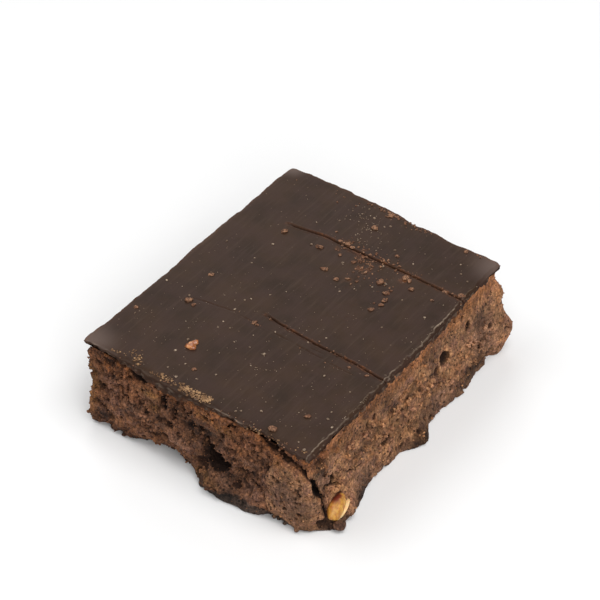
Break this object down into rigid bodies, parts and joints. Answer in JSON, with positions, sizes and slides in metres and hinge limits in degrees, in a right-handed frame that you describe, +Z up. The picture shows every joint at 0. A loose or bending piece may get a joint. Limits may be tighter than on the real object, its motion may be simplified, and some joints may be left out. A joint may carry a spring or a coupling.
{
  "type": "chocolate brownie",
  "caption": "Square-cut slab of crumbly chocolate cake with torn sides, a thin scored chocolate coating and a nut showing at one corner.",
  "frame": {"origin": "middle of the bounding box, on the surface that the slab rests on", "axes": "+Z up through the coated top, +Y along the longer side, +X across it towards the longer cut face that carries the nut at its front end"},
  "size_m": [0.0666, 0.0787, 0.025],
  "materials": {
    "cake": "open, crumbly chocolate cake, matte and porous, browner and redder just under the coating",
    "coating": "set dark chocolate, smooth with a soft sheen, scored by a knife and dusted with crumbs",
    "nut": "roasted nut, golden with a paler broken edge and a dark skin"
  },
  "bodies": {
    "root": {"cake": "cake", "chocolate_coating": "coating", "nut": "nut"}
  },
  "joints": []
}
